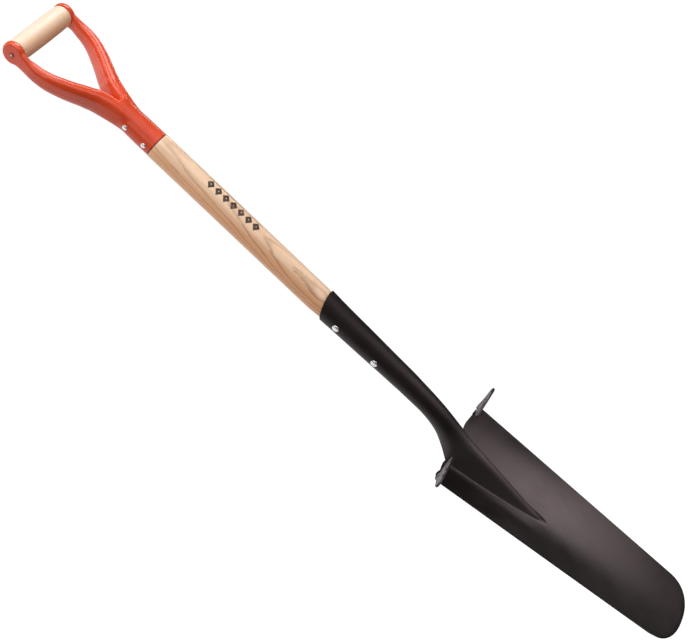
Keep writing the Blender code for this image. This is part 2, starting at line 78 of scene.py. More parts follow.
# height, crest Y, crest radius of the raised ridge that runs up into the neck
CREST = (
    (200.0, 22.0, 5.0), (230.0, 15.2, 5.8), (240.0, 14.2, 6.1), (263.0, 12.9, 6.5),
    (287.0, 10.1, 6.9), (328.0, 5.2, 7.6), (346.0, 3.3, 8.2), (372.0, 1.0, 9.0),
    (391.0, -1.4, 10.0), (407.0, -4.4, 11.0), (422.0, -7.0, 12.0), (435.0, -9.3, 13.0),
    (450.0, -11.4, 14.0), (478.0, -14.1, 15.4), (520.0, -16.4, 16.6))
NECK_TOP = 478.0           # above this the socket is a round cone about the shaft axis
NECK_SETBACK, SETBACK_OVER = 1.3, 32  # the socket starts this far back, and recovers over this
# height and outer radius of the socket
SOCKET = (
    (393.0, 15.6), (422.0, 15.2), (450.0, 15.0), (464.0, 15.1), (478.0, 15.4), (492.0, 15.8),
    (520.0, 16.6), (547.0, 17.2), (575.0, 18.0), (589.0, 18.4), (616.0, 19.0), (643.0, 19.7),
    (662.0, 20.5), (676.0, 21.3))
RIM_MID, RIM_SLANT = 663.4, 9.5  # the mouth is cut on a slant, higher at the front
SEAM = 1.2                 # open seam down the back of the socket
BAND_FROM, BAND_LOW = 200, 9.0   # the middle band is this half wide up to this height
BAND_SPLIT = 18.6          # half width of the sheet that carries on up into the neck

# steps of the sheet's grid
BAND_STEPS, WING_STEPS, NECK_STEPS, SOCKET_STEPS = 72, 40, 30, 34
SECTION_SAMPLES = 321
WING_PASSES = 9            # rounds that settle a wing point, as its X and Z depend on each other
WING_EVEN = 0.45           # share of even spacing in a wing; the rest crowds to the long edge
# rows of the blade as shares of its height, close together at the nose
ROW_SHARES = np.concatenate([
    [0, 0.0032, 0.0066, 0.0105, 0.0175], np.linspace(0.028, 0.56, 26)[:-1],
    np.linspace(0.56, 1, 46)])

# ---- foot treads and their welds ----
TREAD = 3.0
TREAD_OUTER = 106.5
TREAD_INNER = 42.0
# X and Y round the right tread: tip, back, the side by the neck, front
TREAD_OUTLINE = (
    (TREAD_OUTER, -3.2), (TREAD_OUTER - 0.6, -0.6), (TREAD_OUTER - 2.6, 1.6),
    (97.0, 4.2), (90.0, 7.6), (84.0, 11.6), (80.0, 16.2), (77.0, 17.6), (74.0, 17.4),
    (70.0, 13.6), (64.0, 10.0), (58.0, 7.5), (52.0, 5.0), (46.0, 2.5), (TREAD_INNER + 2.2, 0.2),
    (TREAD_INNER + 3.4, -2.0), (52.0, -3.6), (60.0, -4.6), (75.0, -6.5), (90.0, -7.8),
    (100.0, -7.8), (104.0, -6.6), (105.9, -5.0))
WELD_X = np.linspace(70.2, 78.4, 12)
# offset in X, in Y from the blade's front face, and in Z from the shoulders
WELDS = {"front": (0.0, -0.5, -0.55), "rear": (-2.0, SHEET - 0.2, -0.45)}
WELD_R = 1.35
WELD_STEP, WELD_RIPPLE, WELD_TAPER = 0.35, 3.2, 2.2  # lengths along the bead
WELD_SEGMENTS = 14

# ---- shaft ----
SHAFT_R = 19.0
SHAFT_FOOT = 512.0
SHAFT_SLACK = 0.7          # air between the shaft and the inside of the socket
FOOT_INSET, FOOT_RISE = 2.6, 4  # air at the very foot, and height of its chamfer
SHAFT_SEATED_TOP, SHAFT_FREE_FOOT = 672, 679  # the part in the socket and the part above it
FERRULE_FOOT = 975.2
# inset and depth below the top of the shaft's upper edge
SHAFT_EDGE = ((0.12, 0.6), (0.42, 0.2), (1.0, 0.0))
TENON_R = 15.8
TENON_TOP = 1036.0
TENON_CHAMFER = 3

# ---- D-handle ----
WALL = 1.6
# height above the foot of the ferrule, outer radius
FERRULE = ((0.0, 18.5), (33.0, 18.3), (48.0, 17.8), (57.0, 18.0), (65.0, 18.8), (73.0, 20.0))
FERRULE_EXTRA = 4.0        # the skin starts this far below the foot, and is cut off there
BORE_DEPTH = 61.6
BORE_CUT_R, BORE_CUT_BELOW = 30, 9  # size of the cutter that trims the foot
# arm centre line: X, height above the foot of the ferrule, half thickness, half width along Y
ARM = (
    (7.0, 46.0, 9.0, 14.4), (8.4, 60.0, 9.8, 16.0), (11.4, 76.0, 10.8, 17.4),
    (18.0, 94.5, 10.9, 17.2), (22.6, 101.5, 10.4, 16.7), (27.0, 109.0, 10.0, 16.2),
    (31.4, 115.2, 9.8, 15.8), (36.0, 122.0, 9.5, 15.4), (40.6, 129.0, 9.2, 15.0),
    (45.0, 136.8, 8.9, 14.5), (49.0, 144.0, 8.5, 14.0), (52.5, 151.5, 8.1, 13.4),
    (55.2, 159.5, 7.7, 12.7), (57.0, 168.0, 7.3, 12.0), (57.8, 177.0, 6.9, 11.4),
    (58.5, 187.0, 4.7, 11.4), (58.4, 197.0, 4.2, 12.4), (58.2, 204.0, 4.0, 13.0))
ARM_SQUARE = 2.7           # 2 is an oval arm, higher is boxier
ARM_RINGS, ARM_SEGMENTS, SPLINE_STEPS = 70, 48, 24
ARM_SEAM_DEPTH, ARM_SEAM_WIDTH = 0.22, 0.75
WEB_HEIGHT = 92            # middle of the web between the arms, above the foot of the ferrule
WEB_SIZE = (11, 15)        # its reach along X and Z
WEB_LEVELS = 5             # steps of the smoothing weight around it
EAR_IN, EAR_OUT = 53.8, 62.4
EAR_R = 16.2
EAR_FLAT_R = 13.2
EAR_CHAMFER = (0.6, 0.8)   # inner edge: along the radius and along X
EAR_ROUND = ((0, 4.4), (0.5, 2.6), (1.6, 0.9))  # outer edge: inset, distance from the outer face
GRIP_Z = 1183.4
GRIP_R_END, GRIP_R_MID = 15.2, 15.9
GRIP_BORE = 3.4
GRIP_CLEAR = 0.45          # end play each side
GRIP_EDGE = ((1.6, 0.0), (0.9, 0.22), (0.35, 0.75), (0.0, 1.6))  # inset, distance from the end
GRIP_SWELL_FROM = 6        # the swelling starts this far from each end

# ---- rivets ----
SOCKET_RIVETS = {"socket_rivet_upper": 634.6, "socket_rivet_lower": 563.6}
YOKE_RIVETS = {"yoke_rivet_upper": FERRULE_FOOT + 44.5, "yoke_rivet_lower": FERRULE_FOOT + 11.2}
SOCKET_SHANK, YOKE_SHANK, GRIP_SHANK = 2.6, 2.2, 3.0
SOCKET_HEAD, YOKE_HEAD, GRIP_HEAD = (5.2, 1.9), (3.8, 1.4), (3.9, 1.3)  # radius and height
SOCKET_SEAT_RISE = 5       # a socket rivet clears the wider socket this far above it
YOKE_EXTRA_GAP = 0.15
GRIP_DIMPLE = 0.9
HOLE = 0.35                # radial clearance of a rivet hole
PIN_CUT_HALF = 80          # half length of the cutter for the pin's holes


def read_table(rows, height, column=1):
    """Smoothly interpolated value from a table whose first column is the height."""
    heights = [row[0] for row in rows]
    values = [row[column] for row in rows]
    if height <= heights[0]:
        return values[0]
    if height >= heights[-1]:
        return values[-1]
    slopes = [(values[i + 1] - values[i]) / (heights[i + 1] - heights[i])
              for i in range(len(rows) - 1)]
    inner = [(a + b) / 2 if a * b > 0 else 0.0 for a, b in zip(slopes, slopes[1:])]
    tangents = [slopes[0]] + inner + [slopes[-1]]
    i = max(k for k in range(len(rows) - 1) if heights[k] <= height)
    step = heights[i + 1] - heights[i]
    t = (height - heights[i]) / step
    return ((2 * t**3 - 3 * t**2 + 1) * values[i] + (t**3 - 2 * t**2 + t) * step * tangents[i]
            + (3 * t**2 - 2 * t**3) * values[i + 1] + (t**3 - t**2) * step * tangents[i + 1])


def smoothstep(t):
    t = min(max(t, 0.0), 1.0)
    return t * t * (3 - 2 * t)


def travelled(points):
    """Distance along a line of points, at each point."""
    steps = np.linalg.norm(np.diff(points, axis=0), axis=1)
    return np.concatenate([[0.0], np.cumsum(steps)])


def resampled(points, distance, count):
    """Points at even distances, and those distances."""
    even = np.linspace(0, distance[-1], count)
    return np.stack([np.interp(even, distance, column) for column in points.T], axis=1), even


# ---- mesh helpers ----
def link(name, data):
    obj = bpy.data.objects.new(name, data)
    bpy.context.scene.collection.objects.link(obj)
    return obj


def to_world(x, y, z):
    return x * MM, (y + SHAFT_Y) * MM, z * MM


def tool_mesh(name, points, faces):
    """A closed mesh from points in tool millimetres, its faces turned outward."""
    mesh = bpy.data.meshes.new(name)
    mesh.from_pydata([to_world(*point) for point in points], [], faces)
    bm = bmesh.new()
    bm.from_mesh(mesh)
    bmesh.ops.recalc_face_normals(bm, faces=bm.faces)
    bm.to_mesh(mesh)
    bm.free()
    return mesh


def add_modifier(obj, name, kind, **settings):
    modifier = obj.modifiers.new(name, kind)
    for key, value in settings.items():
        setattr(modifier, key, value)


def edge_bevel(obj, width, angle):
    add_modifier(obj, "edge", "BEVEL", width=width * MM, segments=3, limit_method="ANGLE",
                 angle_limit=math.radians(angle), harden_normals=True, miter_outer="MITER_ARC")


def baked(obj):
    """Replaces the object's mesh with its evaluated one."""
    graph = bpy.context.evaluated_depsgraph_get()
    graph.update()
    mesh = bpy.data.meshes.new_from_object(obj.evaluated_get(graph))
    obj.modifiers.clear()
    obj.data = mesh
    return mesh


def vertex_array(mesh, attribute):
    values = np.empty(len(mesh.vertices) * 3, np.float32)
    mesh.vertices.foreach_get(attribute, values)
    return values.reshape(-1, 3)


def lathe(name, profile, segments=ROUND, axis="Z", centre_z=0.0, closed_loop=False):
    """Turned solid from (radius, place along the axis) points. centre_z lifts one about X."""
    points, rings, faces = [], [], []
    for radius, place in profile:
        ring = []
        for i in range(1 if radius == 0 else segments):
            angle = 2 * math.pi * i / segments
            u, v = radius * math.cos(angle), radius * math.sin(angle)
            ring.append(len(points))
            points.append((u, v, place) if axis == "Z" else (place, u, v + centre_z))
        rings.append(ring)
    following = rings[1:] + rings[:1] if closed_loop else rings[1:]
    for low, high in zip(rings, following):
        for i in range(segments):
            n = (i + 1) % segments
            if len(low) == 1:
                faces.append((low[0], high[n], high[i]))
            elif len(high) == 1:
                faces.append((low[i], low[n], high[0]))
            else:
                faces.append((low[i], low[n], high[n], high[i]))
    return tool_mesh(name, points, faces)


def tube_faces(rings, segments):
    """Faces of a tube of rings, closed at both ends."""
    faces = []
    for i in range(rings - 1):
        for k in range(segments):
            n = (k + 1) % segments
            faces.append((i * segments + k, i * segments + n,
                          (i + 1) * segments + n, (i + 1) * segments + k))
    faces.append(tuple(range(segments)))
    faces.append(tuple((rings - 1) * segments + k for k in reversed(range(segments))))
    return faces


def spline(rows, count):
    """Catmull-Rom points through the rows, evenly spread by length in the first two columns."""
    knots = np.array(rows, float)
    knots = np.vstack([2 * knots[0] - knots[1], knots, 2 * knots[-1] - knots[-2]])
    line = []
    for i in range(1, len(knots) - 2):
        p0, p1, p2, p3 = knots[i - 1:i + 3]
        for t in np.linspace(0, 1, SPLINE_STEPS, endpoint=False):
            line.append(0.5 * ((2 * p1) + (p2 - p0) * t + (2 * p0 - 5 * p1 + 4 * p2 - p3) * t**2
                               + (3 * p1 - p0 - 3 * p2 + p3) * t**3))
    line.append(knots[-2])
    line = np.array(line)
    return resampled(line, travelled(line[:, :2]), count)[0]


# ---- the sheet as a surface ----
def half_width(z):
    return HALF_TOP - HALF_TAPER * (BLADE_TOP - z)


def hollow(x, z):
    """Y of the plain hollow blade, before the frog is pressed into it."""
    depth = HOLLOW_NOSE + (HOLLOW_TOP - HOLLOW_NOSE) * z / BLADE_TOP
    edge = EDGE_Y_TOP - EDGE_LIFT * (BLADE_TOP - z)
    return edge + depth * (1 - (x / half_width(z)) ** 2)


def ridge(x, z):
    """Y of the frog: a rounded crest with sloping flanks."""
    crest, radius = read_table(CREST, z), read_table(CREST, z, 2)
    rise = min(max((z - FROG_TIP) / (BLADE_TOP - FROG_TIP), 0.0), 1.0)
    slope = FROG_SLOPE + FROG_STEEPER * rise
    turn = radius * slope / math.hypot(1, slope)
    x = abs(x)
    if x <= turn:
        return crest + radius - math.sqrt(radius**2 - x**2)
    return crest + radius - math.sqrt(radius**2 - turn**2) + slope * (x - turn)


def face_y(x, z):
    """Y of the front face: the hollow with the frog blended in."""
    plain, frog = hollow(x, z), ridge(x, z)
    blend = FROG_BLEND + FROG_BLEND_GAIN * smoothstep((z - FROG_TIP) / FROG_BLEND_OVER)
    closeness = max(blend - abs(plain - frog), 0.0) / blend
    return min(plain, frog) - closeness**3 * blend / 6


def nose(across):
    """Height of the rounded end, at a share of the half width."""
    p, q = NOSE_ROUND
    return NOSE_HEIGHT * (1 - max(1 - abs(across) ** p, 0.0) ** (1 / q))


def ground(x, z):
    """How far the front face is ground back towards the cutting edge round the nose."""
    across = min(abs(x) / half_width(max(z, 0.0)), 1.0)
    return (GRIND_DEPTH * (1 - smoothstep((z - nose(across)) / GRIND_WIDTH))
            * (1 - smoothstep((z - GRIND_FADE_FROM) / GRIND_FADE_OVER)))


def front_point(x, z):
    return x, face_y(x, z) + ground(x, z), z


def band_section(z):
    """X and Y of evenly spaced points across the middle band."""
    share = smoothstep((z - BAND_FROM) / (BLADE_TOP - BAND_FROM))
    half = BAND_LOW + (BAND_SPLIT - BAND_LOW) * share
    line = np.array([(x, face_y(x, z)) for x in np.linspace(-half, half, SECTION_SAMPLES)])
    return resampled(line, travelled(line), BAND_STEPS + 1)[0].T


def neck_section(z, base):
    """Section of the neck or the socket: the channel at SPLIT, closing into a tube."""
    xs, ys = base
    if z < NECK_TOP:
        crest = read_table(CREST, z)
    else:
        setback = max(0.0, NECK_SETBACK * (1 - (z - NECK_TOP) / SETBACK_OVER))
        crest = -read_table(SOCKET, z) + setback
    ys = ys + crest - read_table(CREST, SPLIT)
    radius = read_table(SOCKET, z)
    closing = 1 - (1 - min((z - SPLIT) / (NECK_TOP - SPLIT), 1.0)) ** 2
    end = math.pi - SEAM / 2 / radius
    angles = np.linspace(-end, end, BAND_STEPS + 1)
    tube_x = radius * np.sin(angles)
    tube_y = crest + radius - radius * np.cos(angles)
    return (1 - closing) * xs + closing * tube_x, (1 - closing) * ys + closing * tube_y


def band_rows():
    """Middle band of the blade, from the nose up to SPLIT."""
    rows = []
    for share in ROW_SHARES:
        row = []
        for x in band_section(max(SPLIT * share, 1.0))[0]:
            foot = nose(x / half_width(0))
            row.append(front_point(x, foot + (SPLIT - foot) * share))
        rows.append(row)
    return rows


def wing_rows(side, inner_edge):
    """One side of the blade, from the middle band out to the long edge."""
    even = np.linspace(0, 1, WING_STEPS + 1)
    crowded = np.sin(np.linspace(0, math.pi / 2, WING_STEPS + 1))
    spread = WING_EVEN * even + (1 - WING_EVEN) * crowded
    rows = []
    for share, inner in zip(ROW_SHARES, inner_edge):
        row = []
        for j in range(1, WING_STEPS + 1):
            z = SPLIT * share
            x = inner + (half_width(z) - inner) * spread[j]
            for _ in range(WING_PASSES):
                foot = nose(x / half_width(z)) if j < WING_STEPS else NOSE_HEIGHT
                dip = SHOULDER_DIP * smoothstep((DIP_FROM - x) / (DIP_FROM - DIP_TO))
                z = foot + (BLADE_TOP - dip - foot) * share
                x = inner + (half_width(z) - inner) * spread[j]
            row.append(front_point(side * x, z))
        rows.append(row)
    return rows


def neck_rows():
    """Neck and socket, up to the slanted mouth."""
    base = band_section(SPLIT)
    rows = [[(x, y, z) for x, y in zip(*neck_section(z, base))]
            for z in np.linspace(SPLIT, NECK_TOP, NECK_STEPS + 1)[1:]]
    for k in range(1, SOCKET_STEPS + 1):
        row = []
        for j in range(BAND_STEPS + 1):
            rim = RIM_MID + RIM_SLANT * math.cos((j / BAND_STEPS * 2 - 1) * math.pi)
            z = NECK_TOP + (rim - NECK_TOP) * k / SOCKET_STEPS
            xs, ys = neck_section(z, base)
            row.append((xs[j], ys[j], z))
        rows.append(row)
    return rows


def blade_mesh():
    """The front face as a grid keyed by (row, column), thickened backwards and closed."""
    band = band_rows()
    bm = bmesh.new()
    front = {}
    for k, row in enumerate(band + neck_rows()):
        for j, point in enumerate(row):
            front[k, j] = bm.verts.new(to_world(*point))
    for side in (-1, 1):
        inner_edge = [row[-1 if side > 0 else 0][0] * side for row in band]
        for k, row in enumerate(wing_rows(side, inner_edge)):
            for j, point in enumerate(row, 1):
                column = BAND_STEPS + j if side > 0 else -j
                front[k, column] = bm.verts.new(to_world(*point))
    quads = []
    for k, j in front:
        corners = [(k, j), (k + 1, j), (k + 1, j + 1), (k, j + 1)]
        if all(corner in front for corner in corners):
            quads.append(bm.faces.new([front[corner] for corner in corners]))
    bmesh.ops.reverse_faces(bm, faces=quads)
    bm.normal_update()
    back = {}
    for vert in front.values():
        point = vert.co - vert.normal * SHEET * MM
        # the back follows little of the grinding, so the sheet thins towards the cutting edge
        point.y -= ground(vert.co.x / MM, vert.co.z / MM) * MM * GRIND_BACK
        point.z = max(point.z, 0.0)
        back[vert] = bm.verts.new(point)
    rim = [edge for edge in bm.edges if edge.is_boundary]
    for face in quads:
        bm.faces.new([back[vert] for vert in reversed(face.verts)])
    for edge in rim:
        loop = edge.link_loops[0]
        start, end = loop.vert, loop.link_loop_next.vert
        bm.faces.new([end, start, back[start], back[end]])
    mesh = bpy.data.meshes.new("blade_sheet")
    bm.normal_update()
    bm.to_mesh(mesh)
    bm.free()
    return mesh


# ---- treads and their welds ----
def tread_mesh(side):
    outline = TREAD_OUTLINE if side > 0 else [(-x, y) for x, y in reversed(TREAD_OUTLINE)]
    count = len(outline)
    bottom = BLADE_TOP + GAP
    points = [(x, y, z) for z in (bottom, bottom + TREAD) for x, y in outline]
    faces = [tuple(reversed(range(count))), tuple(range(count, 2 * count))]
    faces += [(i, (i + 1) % count, (i + 1) % count + count, i + count) for i in range(count)]
    return tool_mesh("tread", points, faces)


def weld_mesh(side, offset):
    """A weld bead: a rounded, rippled tube under the tread, closed at both ends."""
    shift_x, shift_y, shift_z = offset
    path = np.array([(side * x, hollow(x, BLADE_TOP) + shift_y, BLADE_TOP + shift_z)
                     for x in WELD_X + shift_x])
    distance = travelled(path)
    count = max(int(distance[-1] / WELD_STEP), 8)
    line, places = resampled(path, distance, count)
    points = []
    for i, place in enumerate(places):
        tangent = line[min(i + 1, count - 1)] - line[max(i - 1, 0)]
        tangent /= np.linalg.norm(tangent)
        level = np.cross(tangent, (0, 0, 1.0))
        level /= np.linalg.norm(level)
        up = np.cross(level, tangent)
        to_end = min(place, distance[-1] - place)
        taper = min(1.0, math.sqrt(max(1e-3, to_end / WELD_TAPER)))
        scallop = abs(math.sin(math.pi * place / WELD_RIPPLE))
        radius = WELD_R * taper * (0.84 + 0.18 * scallop + 0.05 * random.random())
        for k in range(WELD_SEGMENTS):
            angle = 2 * math.pi * k / WELD_SEGMENTS
            points.append(tuple(line[i] + level * radius * math.cos(angle)
                                + up * radius * math.sin(angle)))
    return tool_mesh("weld", points, tube_faces(count, WELD_SEGMENTS))


# ---- D-handle ----
def arm_mesh(side):
    rows = [(x, z + FERRULE_FOOT, thick, wide) for x, z, thick, wide in ARM]
    stations = spline(rows, ARM_RINGS)
    power = 2 / ARM_SQUARE
    points = []
    for i, (x, z, thick, wide) in enumerate(stations):
        tangent = stations[min(i + 1, ARM_RINGS - 1)][:2] - stations[max(i - 1, 0)][:2]
        tangent = tangent / np.linalg.norm(tangent)
        for k in range(ARM_SEGMENTS):
            angle = 2 * math.pi * k / ARM_SEGMENTS
            cosine, sine = math.cos(angle), math.sin(angle)
            out = math.copysign(abs(cosine) ** power, cosine) * thick
            y = math.copysign(abs(sine) ** power, sine) * wide
            points.append((side * (x + tangent[1] * out), y, z - tangent[0] * out))
    return tool_mesh("arm_skin", points, tube_faces(ARM_RINGS, ARM_SEGMENTS))


def ear_mesh(side):
    chamfer_r, chamfer_x = EAR_CHAMFER
    disc = [(0, EAR_IN), (EAR_R - chamfer_r, EAR_IN), (EAR_R, EAR_IN + chamfer_x)]
    disc += [(EAR_R - inset, EAR_OUT - depth) for inset, depth in EAR_ROUND]
    disc += [(EAR_FLAT_R, EAR_OUT), (0, EAR_OUT)]
    return lathe("ear_skin", [(r, side * x) for r, x in disc], axis="X", centre_z=GRIP_Z)


def above_foot(profile):
    return [(radius, height + FERRULE_FOOT) for radius, height in profile]


def joined_skins():
    """Ferrule, arms and ears as overlapping closed shells."""
    top = FERRULE[-1][0]
    wall = [(read_table(FERRULE, height), height) for height in np.linspace(0, top, 30)]
    profile = [(0, -FERRULE_EXTRA), (wall[0][0], -FERRULE_EXTRA)] + wall + [(0, top)]
    shells = [lathe("ferrule_skin", above_foot(profile))]
    for side in (-1, 1):
        shells += [arm_mesh(side), ear_mesh(side)]
    bm = bmesh.new()
    for mesh in shells:
        bm.from_mesh(mesh)
    joined = bpy.data.meshes.new("handle_skin")
    bm.to_mesh(joined)
    bm.free()
    return joined


def melt_web(obj, iterations):
    """Melts the crotch between the arms further, into one smooth web."""
    place = vertex_array(obj.data, "co") / MM
    far = np.hypot(place[:, 0] / WEB_SIZE[0],
                   (place[:, 2] - FERRULE_FOOT - WEB_HEIGHT) / WEB_SIZE[1])
    near = np.round(np.clip(1.5 - far, 0, 1) * WEB_LEVELS).astype(int)
    web = obj.vertex_groups.new(name="web")
    for level in range(1, WEB_LEVELS + 1):
        web.add(np.nonzero(near == level)[0].tolist(), level / WEB_LEVELS, "REPLACE")
    add_modifier(obj, "web", "SMOOTH", factor=0.5, iterations=iterations, vertex_group="web")
    baked(obj)


def press_arm_seams(mesh):
    """A shallow seam along the inner and the outer side of each arm, at mid width."""
    place, normal = vertex_array(mesh, "co"), vertex_array(mesh, "normal")
    y = place[:, 1] / MM - SHAFT_Y
    z = place[:, 2] / MM - FERRULE_FOOT
    # fades in above the crotch, out below the arm's end, and out where the skin faces front or back
    fade = np.clip((z - 88) / 14, 0, 1) * np.clip((199 - z) / 8, 0, 1)
    fade = fade * np.clip(1.4 - 2.2 * np.abs(normal[:, 1]), 0, 1)
    depth = ARM_SEAM_DEPTH * np.exp(-(y / ARM_SEAM_WIDTH) ** 2) * fade
    place = place - normal * depth[:, None] * MM
    mesh.vertices.foreach_set("co", place.ravel())
    mesh.update()


def yoke_object():
    """Ferrule, arms and ears melted into one skin, then bored for the shaft and the pin."""
    obj = link("handle_painted", joined_skins())
    add_modifier(obj, "skin", "REMESH", mode="VOXEL", voxel_size=0.55 * MM,
                 adaptivity=0.0)
    add_modifier(obj, "melt", "SMOOTH", factor=0.5, iterations=36)
    baked(obj)
    melt_web(obj, iterations=150)
    press_arm_seams(obj.data)
    bore, pin = FERRULE[0][1] - WALL, GRIP_SHANK + HOLE
    bore_profile = above_foot((
        (0, -BORE_CUT_BELOW), (BORE_CUT_R, -BORE_CUT_BELOW), (BORE_CUT_R, 0),
        (bore, 0), (bore, BORE_DEPTH), (0, BORE_DEPTH)))
    pin_profile = [(0, -PIN_CUT_HALF), (pin, -PIN_CUT_HALF), (pin, PIN_CUT_HALF),
                   (0, PIN_CUT_HALF)]
    cutters = (
        link("bore_cutter", lathe("bore_cutter", bore_profile)),
        link("pin_cutter", lathe("pin_cutter", pin_profile, 32, "X", GRIP_Z)))
    for cutter in cutters:
        add_modifier(obj, "cut", "BOOLEAN", operation="DIFFERENCE", solver="MANIFOLD",
                     object=cutter)
    baked(obj)
    for cutter in cutters:
        bpy.data.objects.remove(cutter, do_unlink=True)
    return obj


# ---- rivets, grip and shaft ----
def rivet_mesh(name, half, shank, head, z, skirt=0.8, dimple=0.0):
    """A rivet along X: half is the X of the head's seat, skirt how far the head reaches in."""
    radius, height = head
    right = [(shank, half - skirt), (radius * 0.97, half - skirt), (radius, half)]
    for angle in np.linspace(0.12, 1.45, 9):
        right.append((radius * math.cos(angle) ** 0.86, half + height * math.sin(angle) ** 1.1))
    if dimple:
        right += [(radius * 0.30, half + height * 0.98),
                  (radius * 0.22, half + height - dimple * 0.7)]
    right.append((0, half + height - dimple))
    left = [(r, -x) for r, x in reversed(right)]
    return lathe(name, left + right, segments=40, axis="X", centre_z=z)


def grip_mesh():
    half = EAR_IN - GRIP_CLEAR
    end = [(GRIP_BORE, -half)]
    end += [(GRIP_R_END - inset, -half + inward) for inset, inward in GRIP_EDGE]
    swell = GRIP_R_MID - GRIP_R_END
    middle = [(GRIP_R_END + swell * math.cos(math.pi * x / 2 / half), x)
              for x in np.linspace(-half + GRIP_SWELL_FROM, half - GRIP_SWELL_FROM, 25)]
    rows = end + middle + [(r, -x) for r, x in reversed(end)]
    return lathe("grip_skin", rows, axis="X", centre_z=GRIP_Z, closed_loop=True)


def shaft_mesh():
    top = FERRULE_FOOT - GAP
    rows = [(0, SHAFT_FOOT), (read_table(SOCKET, SHAFT_FOOT) - SHEET - FOOT_INSET, SHAFT_FOOT)]
    rows += [(min(read_table(SOCKET, z) - SHEET - SHAFT_SLACK, SHAFT_R), z)
             for z in np.linspace(SHAFT_FOOT + FOOT_RISE, SHAFT_SEATED_TOP, 22)]
    rows += [(SHAFT_R, z) for z in np.linspace(SHAFT_FREE_FOOT, top - 1.0, 30)]
    rows += [(SHAFT_R - inset, top - below) for inset, below in SHAFT_EDGE]
    rows += [(TENON_R, top), (TENON_R, TENON_TOP - TENON_CHAMFER),
             (TENON_R - TENON_CHAMFER, TENON_TOP), (0, TENON_TOP)]
    return lathe("shaft_skin", rows)


# ---- materials: lengths in metres ----
class Graph:
    """Short-hand for making and linking shader nodes."""

    def __init__(self, tree):
        self.tree = tree

    def feed(self, node, key, value):
        if isinstance(value, bpy.types.NodeSocket):
            self.tree.links.new(value, node.inputs[key])
        else:
            node.inputs[key].default_value = value

    def make(self, kind, inputs=None, **props):
        node = self.tree.nodes.new(kind)
        for key, value in props.items():
            setattr(node, key, value)
        for key, value in (inputs or {}).items():
            self.feed(node, key, value)
        return node


class Finish(Graph):
    """A Principled material and the nodes that feed it."""

    def __init__(self, name):
        self.mat = bpy.data.materials.new(name)
        self.mat.use_nodes = True
        super().__init__(self.mat.node_tree)
        self.bsdf = self.tree.nodes["Principled BSDF"]
        self.place = self.make("ShaderNodeTexCoord").outputs["Object"]

    @cached_property
    def axes(self):
        return tuple(self.make("ShaderNodeSeparateXYZ", {0: self.place}).outputs)

    x = property(lambda self: self.axes[0])
    y = property(lambda self: self.axes[1])
    z = property(lambda self: self.axes[2])

    def math(self, operation, a, b=0.0, clamp=False):
        return self.make("ShaderNodeMath", {0: a, 1: b, 2: 0.0}, operation=operation,
                         use_clamp=clamp).outputs[0]

    def plus(self, a, b):
        return self.math("ADD", a, b)

    def minus(self, a, b):
        return self.math("SUBTRACT", a, b)

    def times(self, a, by):
        return self.math("MULTIPLY", a, by)

    def swing(self, value, by):
        """A 0 to 1 value turned into one about zero, by wide."""
        return self.times(self.minus(value, 0.5), by)

    def vector(self, x, y, z):
        return self.make("ShaderNodeCombineXYZ", {0: x, 1: y, 2: z}).outputs[0]

    def stretched(self, x, y, z):
        return self.make("ShaderNodeVectorMath", {0: self.place, 1: (x, y, z)},
                         operation="MULTIPLY").outputs[0]

    def noise(self, vector, scale, detail, rough, distortion=0.0):
        return self.make("ShaderNodeTexNoise", {
            "Vector": vector, "Scale": scale, "Detail": detail, "Roughness": rough,
            "Distortion": distortion}).outputs["Fac"]

    def span(self, value, at, to=(0.0, 1.0)):
        """Smooth passage from to[0] to to[1] while the value goes from at[0] to at[1]."""
        return self.make("ShaderNodeMapRange", {0: value, 1: at[0], 2: at[1], 3: to[0], 4: to[1]},
                         interpolation_type="SMOOTHSTEP").outputs[0]

    def mix(self, share, a, b, mode="MIX"):
        a, b = (v if isinstance(v, bpy.types.NodeSocket) else (*v, 1) for v in (a, b))
        return self.make("ShaderNodeMix", {0: share, 6: a, 7: b}, data_type="RGBA",
                         blend_type=mode).outputs[2]

    def bump(self, height, strength, distance, under=None):
        inputs = {"Height": height, "Strength": strength, "Distance": distance}
        if under is not None:
            inputs["Normal"] = under
        return self.make("ShaderNodeBump", inputs).outputs["Normal"]

    def geometry(self, output):
        return self.make("ShaderNodeNewGeometry").outputs[output]

    def set(self, **values):
        for key, value in values.items():
            self.feed(self.bsdf, key.replace("_", " "), value)
        return self.mat


